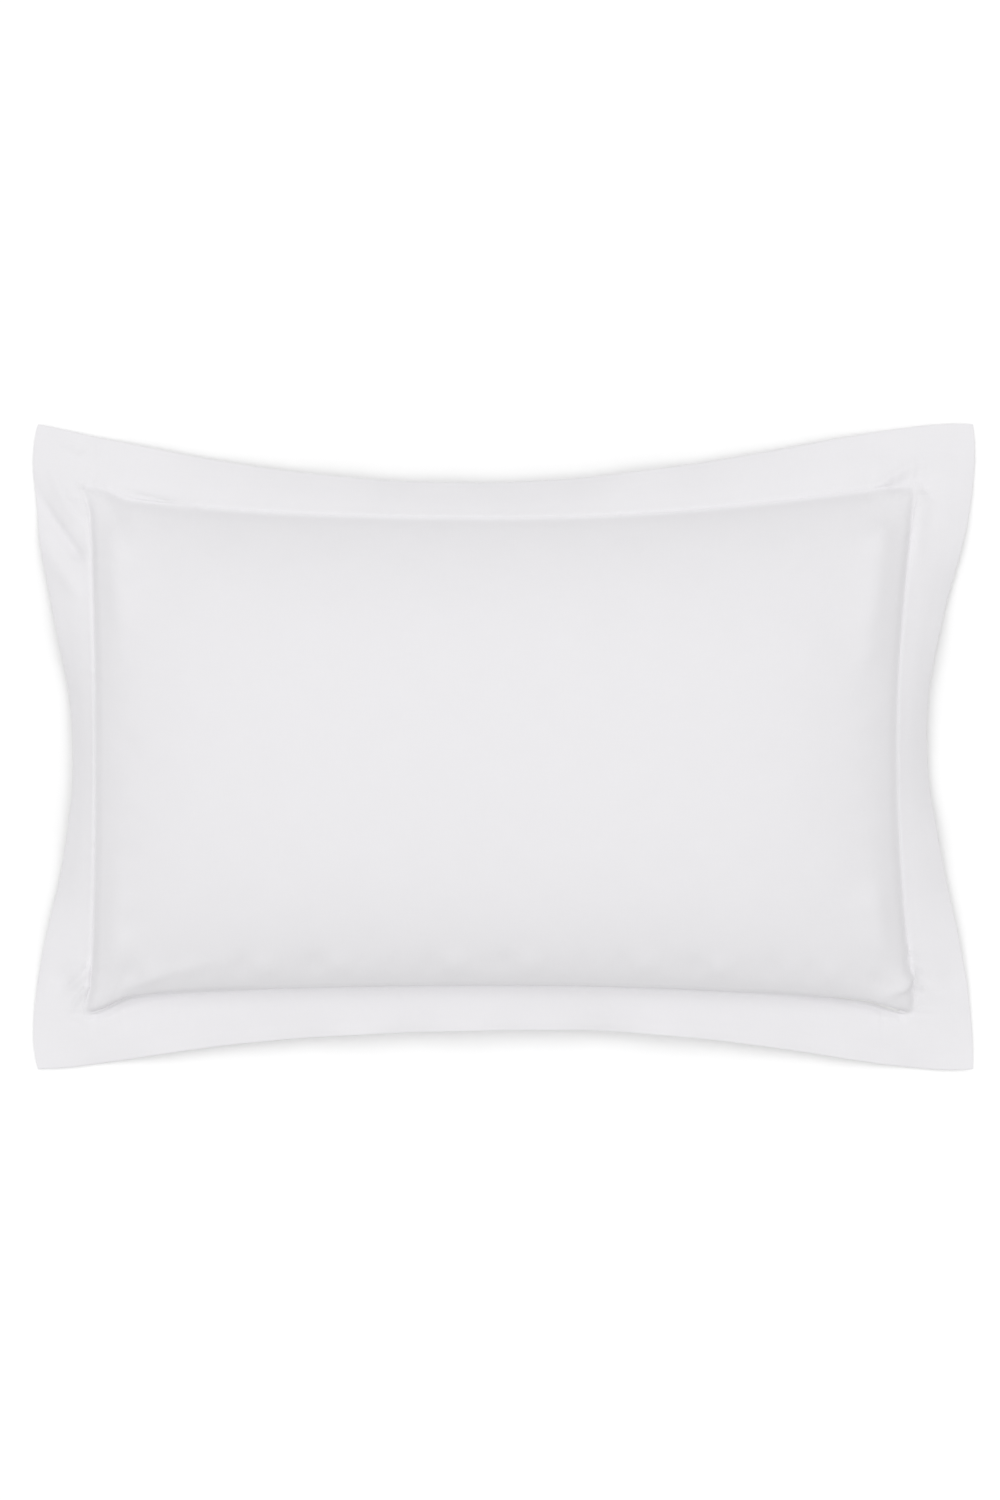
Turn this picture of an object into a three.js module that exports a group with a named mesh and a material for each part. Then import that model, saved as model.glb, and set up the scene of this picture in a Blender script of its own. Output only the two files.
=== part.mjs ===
// A bed pillow in an Oxford pillowcase, lying on its back.
// The case has a front panel, a main back panel and a tucked-in flap panel, joined at the outer edge and
// stitched again round the pocket, which leaves a flat border. Inside is a fibre-filled pillow in ticking.
// Millimetres. +X runs along the pillow, +Y across it and +Z up through its thickness. The origin is on the
// surface that the pillow rests on, under its middle.

import * as THREE from "three";

// Flat pattern of the case, before it is filled
const pocketLength = 750;
const pocketWidth = 500;
const borderWidth = 50;
const openingFromEnd = 110; // from the pocket's end seam to the lip of the opening
const flapOverlap = 150; // how far the flap reaches in under the main back panel
const openingHem = 25;
const hemRise = 2; // the panel thickens to its hem over this length
const flapHem = 12;
const stitchFromSeam = 2.5; // the border's threads lie this far outside the pocket's edge
const edgeSeamInset = 1.5; // of the hidden seam, from the border's outer edge
const flapInset = 3; // of the flap's own edge, which that seam catches

// Filled size, from corner to corner
const filledPocketLength = 734;
const filledPocketWidth = 467;
const pocketShift = { along: -5, across: -3 }; // of the pocket's middle from the border's
const filledLength = 830;
const filledWidth = 572;
const crownHeight = 160;

// What each side does between its corners; the first of each pair is towards its left or lower end. The
// pocket's seam and the border's edge are pulled in, each with the power of its run into either corner. The
// edge flares beside the corners and is deepest a little off the middle. Heights are at mid-side.
const sides = {
  left: {
    seam: { pull: 15.5, ease: [0.5, 0.6] },
    edge: { pull: 34, ease: [3.3, 3.3], flare: [4, 4], shift: -0.05 },
    seamHeight: 58,
    edgeHeight: 21,
  },
  right: {
    seam: { pull: 22, ease: [1, 1.1] },
    edge: { pull: 43.5, ease: [2.2, 3.2], flare: [0, 1.6], shift: 0.06 },
    seamHeight: 56,
    edgeHeight: 20,
  },
  bottom: {
    seam: { pull: 28.5, ease: [0.42, 0.7] },
    edge: { pull: 37.5, ease: [0.85, 1.8], flare: [5, 2], shift: 0.07 },
    seamHeight: 46,
    edgeHeight: 33,
  },
  top: {
    seam: { pull: 32.5, ease: [0.6, 1.2] },
    edge: { pull: 54, ease: [1.3, 1.6], flare: [-2, 1.6], shift: -0.07 },
    seamHeight: 56,
    edgeHeight: 25,
  },
};
const cornerSeamHeight = 14;
const cornerEdgeHeight = 5;

// Shape of the filled pocket: powers of the crown's fall to the seam, which is gentler towards the upper
// side, the flat patch it rests on, and how far the filling settles towards the lower side, within a rise
// above the seam
const crownFall = { length: 3, width: 2.2, roundness: 0.56, upperRoundness: 0.72 };
const restingShare = 0.45;
const bellyRoundness = 0.6;
const sag = 2.5;
const sagRise = 20;

// Cloth
const cloth = 0.4;
const clearance = 0.3; // between neighbouring layers
const layerPitch = cloth + clearance;
const hemThickness = 0.9;
const threadRadius = 0.2;

// The pillow inside the case, as a share of the pocket, and the filling as a share of the pocket
const insertShare = 0.965;
const insertLift = 2.4;
const fillingShare = 0.948;
const fillingLift = 3.2;
const fillingEdge = 2;

// Where the labels lie and how far the closing stitches reach, as shares of a half length and half width
const labelPlace = {
  case: { along: [0.8, 0.96], across: [-0.92, -0.77] },
  insert: { along: [-0.96, -0.85], across: [0.4, 0.63] },
};
const closingReach = 0.7;
const hemStitchReach = 0.98;

// Grid of the faceted surfaces: cells along and across the pocket
const cellsLong = 20;
const cellsWide = 14;
const closestLines = 0.02;
const sameLine = 1e-6;
const normalStep = 0.004; // on the flat pattern, between the points that give a surface's normal

const alongBorder = borderWidth / (pocketLength / 2);
const acrossBorder = borderWidth / (pocketWidth / 2);
const flatAlong = (distance) => distance / (pocketLength / 2);

const mix = (a, b, share) => a + (b - a) * share;
const clampUnit = (value) => Math.min(1, Math.max(-1, value));

// The first of a pair before the middle of a side, the second after it
const either = (t, pair) => (t < 0 ? pair[0] : pair[1]);

// How far along its pull a side is at t, from -1 to 1 along it: 0 at the corners and 1 where it is deepest
function run(t, { ease, shift = 0 }) {
  const moved = t - shift * (1 - t * t);
  return Math.max(0, 1 - moved * moved) ** either(moved, ease);
}

// A swelling of size 1 beside each corner
const swellPower = 6;
const swellPeak = (swellPower / (swellPower + 2)) ** (swellPower / 2) * (2 / (swellPower + 2));
const swelling = (t) => (t ** swellPower * Math.max(0, 1 - t * t)) / swellPeak;

// Value at (u, v) of a quantity that each side holds at its middle and that all corners share
function coons(u, v, key, corner) {
  const bulge = (side, t) => mix(corner, sides[side][key], 1 - t * t);
  const acrossLength = mix(bulge("left", v), bulge("right", v), (1 + u) / 2);
  const acrossWidth = mix(bulge("bottom", u), bulge("top", u), (1 + v) / 2);
  return acrossLength + acrossWidth - corner;
}

// Place of the pocket point (u, v), from -1 to 1 each way
const inward = (side, t) => sides[side].seam.pull * run(t, sides[side].seam);
function pocketX(u, v) {
  const pulled = ((1 - u) / 2) * inward("left", v) - ((1 + u) / 2) * inward("right", v);
  return (u * filledPocketLength) / 2 + pocketShift.along + pulled;
}
function pocketY(u, v) {
  const pulled = ((1 - v) / 2) * inward("bottom", u) - ((1 + v) / 2) * inward("top", u);
  return (v * filledPocketWidth) / 2 + pocketShift.across + pulled;
}

// Distance of the border's outer edge from the middle, at t along the side
function edgeDistance(side, half, t) {
  const { edge } = sides[side];
  return half - edge.pull * run(t, edge) + either(t, edge.flare) * swelling(t);
}

// Plan of the whole flat pattern: p and q are 1 at the seam and more than 1 in the border
function plan(p, q) {
  const u = clampUnit(p);
  const v = clampUnit(q);
  const outLong = (Math.abs(p) - Math.abs(u)) / alongBorder;
  const outWide = (Math.abs(q) - Math.abs(v)) / acrossBorder;
  const tLong = p / (1 + alongBorder);
  const tWide = q / (1 + acrossBorder);
  const endEdge = edgeDistance(p < 0 ? "left" : "right", filledLength / 2, tWide);
  const sideEdge = edgeDistance(q < 0 ? "bottom" : "top", filledWidth / 2, tLong);
  const x = mix(pocketX(u, v), (u / (1 + alongBorder)) * (filledLength / 2), outWide);
  const y = mix(pocketY(u, v), (v / (1 + acrossBorder)) * (filledWidth / 2), outLong);
  return {
    u,
    v,
    x: mix(x, Math.sign(p) * endEdge, outLong),
    y: mix(y, Math.sign(q) * sideEdge, outWide),
    out: 1 - (1 - outLong) * (1 - outWide),
  };
}

// Height of the seam's own surface: the pocket's mid level, and the border sloping down from it
function seamLevel({ u, v, out }) {
  const seam = coons(u, v, "seamHeight", cornerSeamHeight);
  return out > 0 ? mix(seam, coons(u, v, "edgeHeight", cornerEdgeHeight), out) : seam;
}

// How full the crown is at (u, v), from 0 at the seam to 1 in the middle
function crownShare(u, v) {
  const { length, width, roundness, upperRoundness } = crownFall;
  const long = Math.max(0, 1 - Math.abs(u) ** length) ** roundness;
  const wide = Math.max(0, 1 - Math.abs(v) ** width) ** (v > 0 ? upperRoundness : roundness);
  return long * wide;
}

// How near the belly is to the resting surface, from 0 at the seam to 1 over the flat patch
function bellyShare(u, v) {
  const roll = (t) => {
    const beyond = Math.max(0, Math.abs(t) - restingShare) / (1 - restingShare);
    return Math.max(0, 1 - beyond * beyond) ** bellyRoundness;
  };
  return roll(u) * roll(v);
}

// How far the upper surface hangs towards the lower side at a height above the seam
const hang = (rise) => sag * (1 - Math.exp(-rise / sagRise));

// The case's upper and lower surfaces, which share the seam and the border
const restingLevel = 1.5 * cloth + clearance; // of the lower surface, under the back panel's outer face
function caseTop(p, q) {
  const place = plan(p, q);
  const level = seamLevel(place);
  const height = mix(level, crownHeight, crownShare(place.u, place.v));
  return new THREE.Vector3(place.x, place.y - hang(height - level), height);
}
function caseBottom(p, q) {
  const place = plan(p, q);
  const height = mix(seamLevel(place), restingLevel, bellyShare(place.u, place.v));
  return new THREE.Vector3(place.x, place.y, height);
}

// A smaller pillow nested in the pocket: its rim follows the case at a share of the way out to the seam,
// lifted clear, and edge is the thickness of that rim
function nested(share, lift, edge = 0) {
  const rim = (u, v) => coons(u * share, v * share, "seamHeight", cornerSeamHeight) + lift;
  const at = (u, v, height, hung) => {
    return new THREE.Vector3(pocketX(u * share, v * share), pocketY(u * share, v * share) - hung, height);
  };
  function top(u, v) {
    const height = mix(rim(u, v) + edge / 2, crownHeight - lift, crownShare(u, v));
    return at(u, v, height, hang(height - rim(u, v) - edge / 2));
  }
  const bottom = (u, v) => at(u, v, mix(rim(u, v) - edge / 2, restingLevel + lift, bellyShare(u, v)), 0);
  return { top, bottom };
}
const insert = nested(insertShare, insertLift);
const filling = nested(fillingShare, fillingLift, fillingEdge);

// A point moved off a surface along its normal; up is 1 for a surface that faces up and -1 for one
// that faces down
function offPoint(surface, p, q, offset, up) {
  const along = surface(p + normalStep, q).sub(surface(p - normalStep, q));
  const across = surface(p, q + normalStep).sub(surface(p, q - normalStep));
  const normal = along.cross(across).normalize().multiplyScalar(up);
  return surface(p, q).addScaledVector(normal, offset);
}

// Grid lines of the pocket, closer together towards the seam, and of the border beyond it
function gridLines(cells, border, borderShares) {
  const crowded = (i) => Math.sin((Math.PI / 2) * ((2 * i) / cells - 1));
  const pocket = Array.from({ length: cells + 1 }, (_, i) => crowded(i));
  const outside = borderShares.map((share) => 1 + border * share);
  return [...outside.map((line) => -line).reverse(), ...pocket, ...outside];
}
const stitchShare = stitchFromSeam / borderWidth;
const edgeSeamShare = 1 - edgeSeamInset / borderWidth;
const flapEdgeShare = 1 - flapInset / borderWidth;
const borderShares = [stitchShare, 0.5, flapEdgeShare, 1];
const rows = gridLines(cellsWide, acrossBorder, borderShares);
const pocketColumns = gridLines(cellsLong, alongBorder, []);
const pocketRows = gridLines(cellsWide, acrossBorder, []);

// The same lines with some named ones added, and none left too close to those
function withLines(lines, named) {
  const kept = lines.filter((line) => named.every((name) => Math.abs(line - name) > closestLines));
  return [...kept, ...named].sort((a, b) => a - b);
}

const openingLine = 1 - flatAlong(openingFromEnd);
const openingStitch = openingLine - flatAlong(openingHem);
const hemStep = openingStitch - flatAlong(hemRise);
const flapLine = openingLine - flatAlong(flapOverlap);
const flapStitch = flapLine + flatAlong(flapHem);
const backLines = [flapLine, flapStitch, hemStep, openingStitch, openingLine];
const columns = withLines(gridLines(cellsLong, alongBorder, borderShares), backLines);

function geometryOf(points, triangles) {
  const geometry = new THREE.BufferGeometry().setFromPoints(points);
  geometry.setIndex(triangles);
  return geometry;
}

// Two triangles for the four-sided facet a, b, c, d, and the same two facing the other way
const facet = (a, b, c, d) => [a, b, c, a, c, d];
const facetTurned = (a, b, c, d) => [a, c, b, a, d, c];

// A closed sheet between an inner and an outer layer of points, one point for each column and row
function sheetBetween(innerPoint, outerPoint, lines, crossLines, up) {
  const points = [];
  for (const layer of [innerPoint, outerPoint])
    for (const p of lines) for (const q of crossLines) points.push(layer(p, q));
  const deep = crossLines.length;
  const layerSize = lines.length * deep;
  const inner = (i, j) => i * deep + j;
  const outer = (i, j) => layerSize + inner(i, j);
  const triangles = [];
  const add = (a, b, c, d) => triangles.push(...(up > 0 ? facet : facetTurned)(a, b, c, d));
  const addTurned = (a, b, c, d) => triangles.push(...(up > 0 ? facetTurned : facet)(a, b, c, d));
  for (let i = 0; i + 1 < lines.length; i++) {
    for (let j = 0; j + 1 < deep; j++) {
      add(outer(i, j), outer(i + 1, j), outer(i + 1, j + 1), outer(i, j + 1));
      addTurned(inner(i, j), inner(i + 1, j), inner(i + 1, j + 1), inner(i, j + 1));
    }
    add(inner(i, 0), inner(i + 1, 0), outer(i + 1, 0), outer(i, 0));
    add(inner(i + 1, deep - 1), inner(i, deep - 1), outer(i, deep - 1), outer(i + 1, deep - 1));
  }
  const last = lines.length - 1;
  for (let j = 0; j + 1 < deep; j++) {
    add(inner(0, j + 1), inner(0, j), outer(0, j), outer(0, j + 1));
    add(inner(last, j), inner(last, j + 1), outer(last, j + 1), outer(last, j));
  }
  return geometryOf(points, triangles);
}

// A sheet of cloth laid off a surface; thickness may vary along p
function clothSheet(surface, up, lines, crossLines, from, thickness = () => cloth) {
  return sheetBetween(
    (p, q) => offPoint(surface, p, q, from, up),
    (p, q) => offPoint(surface, p, q, from + thickness(p), up),
    lines,
    crossLines,
    up,
  );
}

// A thread of square section along a path of surface points; a closed path joins its own start
function thread(path, closed) {
  const points = [];
  for (const { centre, normal, sideways } of path)
    for (const [out, side] of [[1, 0], [0, 1], [-1, 0], [0, -1]])
      points.push(
        centre
          .clone()
          .addScaledVector(normal, out * threadRadius)
          .addScaledVector(sideways, side * threadRadius),
      );
  const triangles = [];
  const steps = closed ? path.length : path.length - 1;
  for (let i = 0; i < steps; i++) {
    const here = 4 * i;
    const next = 4 * ((i + 1) % path.length);
    for (let k = 0; k < 4; k++) {
      const after = (k + 1) % 4;
      triangles.push(...facet(here + k, here + after, next + after, next + k));
    }
  }
  if (!closed) {
    const end = 4 * (path.length - 1);
    triangles.push(...facet(3, 2, 1, 0), ...facet(end, end + 1, end + 2, end + 3));
  }
  return geometryOf(points, triangles);
}

// Frames along a list of (p, q) stations on a surface, lifted off it by an offset that may vary along p
function threadPath(surface, up, stations, offset, closed) {
  const centres = stations.map(([p, q]) => offPoint(surface, p, q, offset(p), up));
  return centres.map((centre, i) => {
    const before = centres[closed ? (i + centres.length - 1) % centres.length : Math.max(0, i - 1)];
    const after = centres[closed ? (i + 1) % centres.length : Math.min(centres.length - 1, i + 1)];
    const tangent = after.clone().sub(before).normalize();
    const lifted = offPoint(surface, ...stations[i], offset(stations[i][0]) + 1, up).sub(centre);
    const sideways = tangent.clone().cross(lifted).normalize();
    return { centre, normal: sideways.clone().cross(tangent), sideways };
  });
}

// Stations round a rectangle of the flat pattern, anticlockwise seen from above
function loopStations(lines, crossLines) {
  const [left, right] = [lines[0], lines.at(-1)];
  const [bottom, top] = [crossLines[0], crossLines.at(-1)];
  return [
    ...lines.slice(0, -1).map((p) => [p, bottom]),
    ...crossLines.slice(0, -1).map((q) => [right, q]),
    ...lines.slice(1).reverse().map((p) => [p, top]),
    ...crossLines.slice(1).reverse().map((q) => [left, q]),
  ];
}

const within = (lines, low, high) => lines.filter((line) => line > low - sameLine && line < high + sameLine);

// The lines inside a share of the border's width, closed by a pair at that share
function linesTo(share, lines, border) {
  const limit = 1 + border * share;
  return [-limit, ...lines.filter((line) => Math.abs(line) < limit - sameLine), limit];
}
const loopAt = (share, lines) =>
  loopStations(linesTo(share, lines, alongBorder), linesTo(share, rows, acrossBorder));

const percale = () => new THREE.MeshStandardMaterial({ color: 0xececee, roughness: 0.85, metalness: 0 });
const ticking = () => new THREE.MeshStandardMaterial({ color: 0xe9e7e1, roughness: 0.9, metalness: 0 });
const fibre = () => new THREE.MeshStandardMaterial({ color: 0xf2f2f0, roughness: 1, metalness: 0 });
const sewingThread = () => new THREE.MeshStandardMaterial({ color: 0xf0f0f1, roughness: 0.6, metalness: 0 });
const labelTape = () => new THREE.MeshStandardMaterial({ color: 0xf3f3f1, roughness: 0.45, metalness: 0 });

function piece(name, geometry, material) {
  const mesh = new THREE.Mesh(geometry, material);
  mesh.name = name;
  return mesh;
}

// Offsets of cloth layers from a surface: the flap in the middle, the front and back panels outside it
const flapFrom = -cloth / 2;
const outerFrom = cloth / 2 + clearance;
const onOuter = outerFrom + cloth + clearance;
const insideFlap = flapFrom - clearance - 2 * threadRadius;

// Thickness of the main back panel along p: its lip is turned over twice
const backThickness = (p) => (p > openingStitch - sameLine && p < 1 ? hemThickness : cloth);
const onBack = (p) => outerFrom + backThickness(p) + clearance;

function frontPanel() {
  return piece("case_front_panel", clothSheet(caseTop, 1, columns, rows, outerFrom), percale());
}

function backPanel() {
  const lines = within(columns, -2, openingLine);
  const geometry = clothSheet(caseBottom, -1, lines, rows, outerFrom, backThickness);
  return piece("case_back_panel", geometry, percale());
}

function flapPanel() {
  const lines = linesTo(flapEdgeShare, columns, alongBorder).filter((line) => line > flapLine - sameLine);
  const crossLines = linesTo(flapEdgeShare, rows, acrossBorder);
  return piece("case_flap_panel", clothSheet(caseBottom, -1, lines, crossLines, flapFrom), percale());
}

function caseThreads() {
  const acrossPocket = within(rows, -hemStitchReach, hemStitchReach);
  const routes = {
    border_needle: [caseTop, 1, loopAt(stitchShare, columns), () => onOuter, true],
    border_bobbin: [caseBottom, -1, loopAt(stitchShare, columns), onBack, true],
    outer_seam: [caseTop, 1, loopAt(edgeSeamShare, columns), () => -threadRadius, true],
    opening_hem: [caseBottom, -1, acrossPocket.map((q) => [openingStitch, q]), onBack, false],
    flap_hem: [caseBottom, -1, acrossPocket.map((q) => [flapStitch, q]), () => insideFlap, false],
  };
  return Object.entries(routes).map(([name, [surface, up, stations, offset, closed]]) => {
    const path = threadPath(surface, up, stations, (p) => offset(p) + threadRadius, closed);
    return piece(`case_${name}_thread`, thread(path, closed), sewingThread());
  });
}

function caseLabel() {
  const lines = within(columns, ...labelPlace.case.along);
  const crossLines = within(rows, ...labelPlace.case.across);
  const geometry = clothSheet(caseBottom, -1, lines, crossLines, flapFrom - 2 * layerPitch);
  return piece("case_care_label", geometry, labelTape());
}

function insertTicking() {
  const sheet = (surface, up) => clothSheet(surface, up, pocketColumns, pocketRows, outerFrom);
  return [
    piece("insert_ticking_front", sheet(insert.top, 1), ticking()),
    piece("insert_ticking_back", sheet(insert.bottom, -1), ticking()),
  ];
}

function insertThreads() {
  const offset = () => onOuter + threadRadius;
  const closingColumn = pocketColumns.at(-2);
  const closingStations = within(pocketRows, -closingReach, closingReach).map((q) => [closingColumn, q]);
  const seam = threadPath(insert.top, 1, loopStations(pocketColumns, pocketRows), offset, true);
  const closing = threadPath(insert.top, 1, closingStations, offset, false);
  return [
    piece("insert_seam_thread", thread(seam, true), sewingThread()),
    piece("insert_closing_thread", thread(closing, false), sewingThread()),
  ];
}

function insertLabel() {
  const lines = within(pocketColumns, ...labelPlace.insert.along);
  const crossLines = within(pocketRows, ...labelPlace.insert.across);
  return piece("insert_care_label", clothSheet(insert.top, 1, lines, crossLines, onOuter), labelTape());
}

function fibreFilling() {
  const geometry = sheetBetween(filling.bottom, filling.top, pocketColumns, pocketRows, 1);
  return piece("fibre_filling", geometry, fibre());
}

function pillowcase() {
  const group = new THREE.Group();
  group.add(frontPanel(), backPanel(), flapPanel(), ...caseThreads(), caseLabel());
  return group;
}

function innerPillow() {
  const group = new THREE.Group();
  group.add(...insertTicking(), ...insertThreads(), insertLabel(), fibreFilling());
  return group;
}

const pillow = new THREE.Group();
pillow.add(pillowcase(), innerPillow());

export default pillow;
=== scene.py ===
"""A bed pillow in a white Oxford pillowcase, lying on its back under soft studio light.

The case is cut flat, sewn and blown up by cloth simulation round the filled shape that the CAD frame holds.
Its front, back and flap panels, the pillow inside it, every row of stitches and both labels are then laid
on the simulated cloth as pieces of their own. Metres; +X along the pillow, +Y across it, +Z up.
"""

import math

import bpy
import numpy as np
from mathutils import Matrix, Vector


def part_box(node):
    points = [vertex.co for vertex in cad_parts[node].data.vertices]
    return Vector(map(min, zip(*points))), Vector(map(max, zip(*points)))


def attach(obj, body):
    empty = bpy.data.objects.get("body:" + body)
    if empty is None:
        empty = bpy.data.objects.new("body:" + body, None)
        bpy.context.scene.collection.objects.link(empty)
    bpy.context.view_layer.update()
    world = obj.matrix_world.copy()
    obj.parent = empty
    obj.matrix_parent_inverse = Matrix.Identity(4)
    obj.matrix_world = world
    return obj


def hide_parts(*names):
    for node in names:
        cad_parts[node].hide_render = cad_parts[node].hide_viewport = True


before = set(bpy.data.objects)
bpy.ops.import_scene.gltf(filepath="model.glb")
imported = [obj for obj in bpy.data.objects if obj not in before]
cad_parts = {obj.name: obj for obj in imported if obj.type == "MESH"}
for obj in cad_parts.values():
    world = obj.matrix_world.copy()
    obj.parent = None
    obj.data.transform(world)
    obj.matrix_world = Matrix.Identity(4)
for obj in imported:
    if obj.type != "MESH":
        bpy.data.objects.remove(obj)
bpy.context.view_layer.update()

# ------------------------ sizes

# The flat pattern of the case
POCKET = np.array([0.75, 0.50])
BORDER = 0.05
OPENING_FROM_END = 0.11
FLAP_OVERLAP = 0.15
OPENING_HEM = 0.025
OPENING_TUCK = 0.010
FLAP_HEM = 0.012
FLAP_TUCK = 0.008

# Cloth and thread
CLOTH = 0.00026
LAYER = 0.0003  # from the middle of one layer of cloth to the next
THREAD = 0.00028
STITCH_FROM_SEAM = 0.002
STITCH_LENGTH = 0.0026
STITCH_STEPS = 6  # stations of the thread in each stitch
STITCH_DIP = 0.0004
STITCH_HEIGHT = 0.45 * THREAD
STITCH_FULLNESS = 0.6  # power of the thread's rise between two holes
THREAD_SIDES = 6
PATH_STEP = 0.003
EDGE_SEAM_INSET = 0.0015
HEM_ROW_INSET = 0.002
FLOOR_GAP = 0.00002
RESTING_LEVEL = 1.5 * LAYER + CLOTH / 2 + FLOOR_GAP  # of the lower surface, inside flap and back panel

# The pillow inside, as shares of the pocket, and how far it lies inside the case
INSERT_SHARE = 0.965
INSERT_LIFT = 0.0026
FILLING_SHARE = 0.95
FILLING_LIFT = 0.0042
FILLING_RIM = 0.003
TICKING_RIM = 4 * CLOTH
TICKING_LINES = (170, 120)
FILLING_LINES = (150, 105)
CLOSING_REACH = 0.7
CLOSING_LINE = -6  # the ticking's line that the closing stitches follow
RIM_GATHER_WAVES = (0.013, 0.009, 0.021)
RIM_GATHER_REACH = 0.006
RIM_GATHER_HEIGHT = 0.0008
CLUMP_WAVES = ((0.031, 0.019), (0.027, 0.017))
CLUMP_DEPTH = 0.0012

# Labels: ends along and across, on the case's pattern in metres and on the inner pillow as shares
CASE_LABEL = ((0.300, 0.360), (-0.2485, -0.192))
INSERT_LABEL = ((-0.96, -0.85), (0.4, 0.63))
LABEL_LINES = 24
CASE_LABEL_DEPTH = 4 * LAYER

# Grids of the finished panels
PANEL_CELL = 0.0042
CROWDING = 0.62  # how strongly the lines crowd towards the seams
BORDER_LINES = 18
BORDER_CROWDING = 1.15
LIP_CLEARANCE = 0.001  # least distance of a panel's other lines from its lip
HAIR = 1e-6

# How cloth is turned at its edges
ALLOWANCE = 0.009
ALLOWANCE_LINES = 5
HEM_LINES = 6
FOLD = 0.0004  # how far a fold rounds out
FOLD_ANGLES = np.linspace(0, math.pi, 7)

# How the layers beside an edge of cloth step over it, as distances from that edge
ALLOWANCE_STEP = (-0.003, 0.001)
HEM_ROOM = (0.006, 0.001)
LIP_STEP = 0.004
HEM_STEP = 0.005
OPENING_STEP = 0.015

# Simulation
CELLS = (107, 71)  # of the pocket, along and across
BORDER_CELLS = 7
QUALITY = 6
MASS = 0.3
TENSION = 15
COMPRESSION = 15
SHEAR = 5
BENDING = 0.5
PRESSURE = 2
SIM_FRAMES = 40
FURTHEST_MOVE = 0.012

# Small forms: waves of the border's edge and gathers beside the seam
BORDER_EASING = 60  # rounds of smoothing of the border between the seam and its outer edge
BORDER_CURL = 1.5  # power of the border's fall from the seam to its outer edge
BORDER_WAVES = (0.24, 0.15, 0.09)
BORDER_WAVE_HEIGHT = 0.0035
RIDGE_HEIGHT = 0.0016
RIDGE_PLACE = 0.0008
RIDGE_WIDTHS = (0.0014, 0.0070)  # towards the pocket and towards the border
PUCKER_WAVES = (0.017, 0.0105, 0.0076)
PUCKER_GROUPS = (0.09, 0.053)
PUCKER_UNEVENNESS = 0.45
PUCKER_REACH_IN = 0.006
PUCKER_REACH_OUT = 0.007
PUCKER_HEIGHT = 0.00035

# Soft folds of the pocket beside its bottom, top, left and right seams
SCALLOP_WAVES = (0.083, 0.057, 0.034)
SCALLOP_PLACE = 0.034
SCALLOP_REACH = 0.013
SCALLOP_HEIGHTS = (0.0016, 0.0005, 0.0008, 0.0008)

# Folds by the pocket's corners, ridges where the height is above 0 and valleys where it is below. Each has
# its strong end and its weak end on the flat pattern, its bow, half width and height. Millimetres
FOLDS = (
    ((-382, 172), (-432, 262), 5, 8, -6.5),
    ((-380, 206), (-418, 284), 3, 8, 4.0),
    ((-388, 140), (-432, 214), 4, 9, 3.0),
    ((-368, 240), (-394, 258), 1, 3, 2.0),
    ((-346, 256), (-250, 245), 1, 3, 2.4),
    ((-366, 272), (-370, 306), 1, 2.5, 1.4),
    ((-378, 284), (-418, 298), 2, 5, -2.2),
    ((332, 247), (412, 270), 8, 6, 3.6),
    ((348, 247), (402, 252), 5, 5, -2.2),
    ((380, 252), (394, 230), -1, 2.5, -2.0),
    ((384, 244), (388, 150), -2, 8, 2.6),
    ((-379, -253), (-290, -246), -2, 4, -6.5),
    ((-320, -247), (-190, -244), 0, 3, -3.0),
    ((-350, -236), (-225, -206), 6, 10, 2.8),
    ((-374, -196), (-408, -240), 2, 4.5, 3.8),
    ((-376, -216), (-398, -258), 1, 3.5, 3.0),
    ((374, -252), (292, -248), 1, 4.5, -6.5),
    ((324, -249), (200, -243), 1, 3, -3.0),
    ((382, -208), (338, -242), -2, 5, 3.6),
    ((368, -184), (396, -198), 0, 3, 2.4),
    ((371, -199), (398, -214), 0, 3, 2.4),
    ((374, -214), (402, -240), 0, 3.5, 2.6),
    ((343, 236), (336, 40), 0, 18, 6.0),
    ((-347, 234), (-343, 60), 0, 17, 5.0),
    ((-348, -218), (-346, -60), 0, 16, 3.0),
    ((345, -205), (342, -50), 0, 17, 4.0),
)
FOLD_FADE = (0.18, 0.35)  # shares of a fold's length where it has come up and where it starts to fade
FOLD_SHARPNESS = 1.5

# The filled shape, as in the CAD part: its height is read from the frame
CROWN_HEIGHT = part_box("case_front_panel")[1][2]
OUTER_HALF = np.array([0.415, 0.286])
SEAM_HALF = np.array([0.367, 0.2335])
SEAM_CENTRE = np.array([-0.005, -0.003])

# What each side does between its corners. Pulls are how far the stitched seam and the outer edge are drawn
# in, each with the power of its run into the first and the last corner; heights are at mid-side
SIDES = {
    "left": dict(
        seam=0.0155, seam_ease=(0.5, 0.6), seam_height=0.058,
        edge=0.034, edge_ease=(3.3, 3.3), edge_height=0.021, flare=(0.004, 0.004), shift=-0.05,
    ),
    "right": dict(
        seam=0.022, seam_ease=(1.0, 1.1), seam_height=0.056,
        edge=0.0435, edge_ease=(2.2, 3.2), edge_height=0.020, flare=(0.0, 0.0016), shift=0.06,
    ),
    "bottom": dict(
        seam=0.0285, seam_ease=(0.42, 0.7), seam_height=0.046,
        edge=0.0375, edge_ease=(0.85, 1.8), edge_height=0.036, flare=(0.005, 0.002), shift=0.07,
    ),
    "top": dict(
        seam=0.0325, seam_ease=(0.6, 1.2), seam_height=0.056,
        edge=0.054, edge_ease=(1.3, 1.6), edge_height=0.025, flare=(-0.002, 0.0016), shift=-0.07,
    ),
}
FLARE_PEAK = 0.1055  # highest value of t^6 (1 - t^2)
EARS = 0.12  # share of a half side over which the pocket's corners stand out
CORNER_SEAM_HEIGHT = 0.014
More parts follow.
